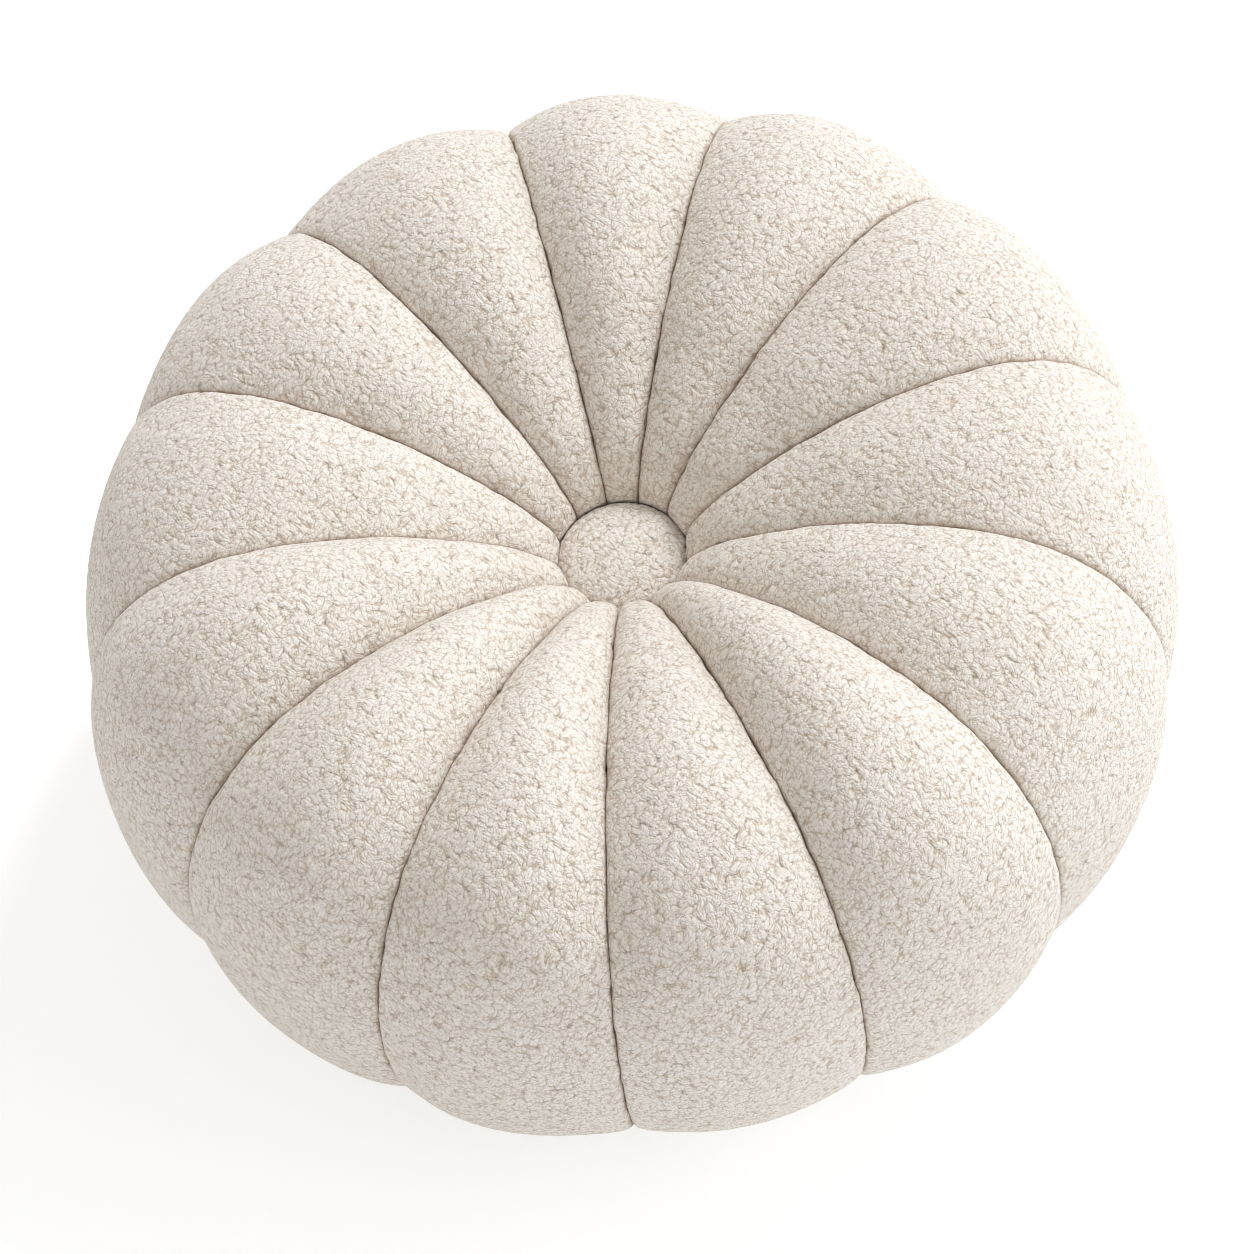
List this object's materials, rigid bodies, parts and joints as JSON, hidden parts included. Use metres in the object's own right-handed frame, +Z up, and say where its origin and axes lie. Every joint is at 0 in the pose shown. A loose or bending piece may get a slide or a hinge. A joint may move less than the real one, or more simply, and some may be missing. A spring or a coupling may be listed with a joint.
{
  "type": "round cushion",
  "caption": "Round stuffed cushion in looped cream cloth, sewn into radial lobes that meet at a covered button sunk in the middle of its face.",
  "frame": {"origin": "middle of the flat round under the cushion, where it rests on a surface, straight below the button", "axes": "+Z up, through the button, square to the cushion's face; -Y towards the viewer of the picture"},
  "size_m": [0.4378, 0.4459, 0.2151],
  "materials": {
    "cushion": "matt looped pile, cream",
    "button": "matt looped pile, cream"
  },
  "bodies": {
    "root": {"cushion": "cushion", "button": "button"}
  },
  "joints": []
}
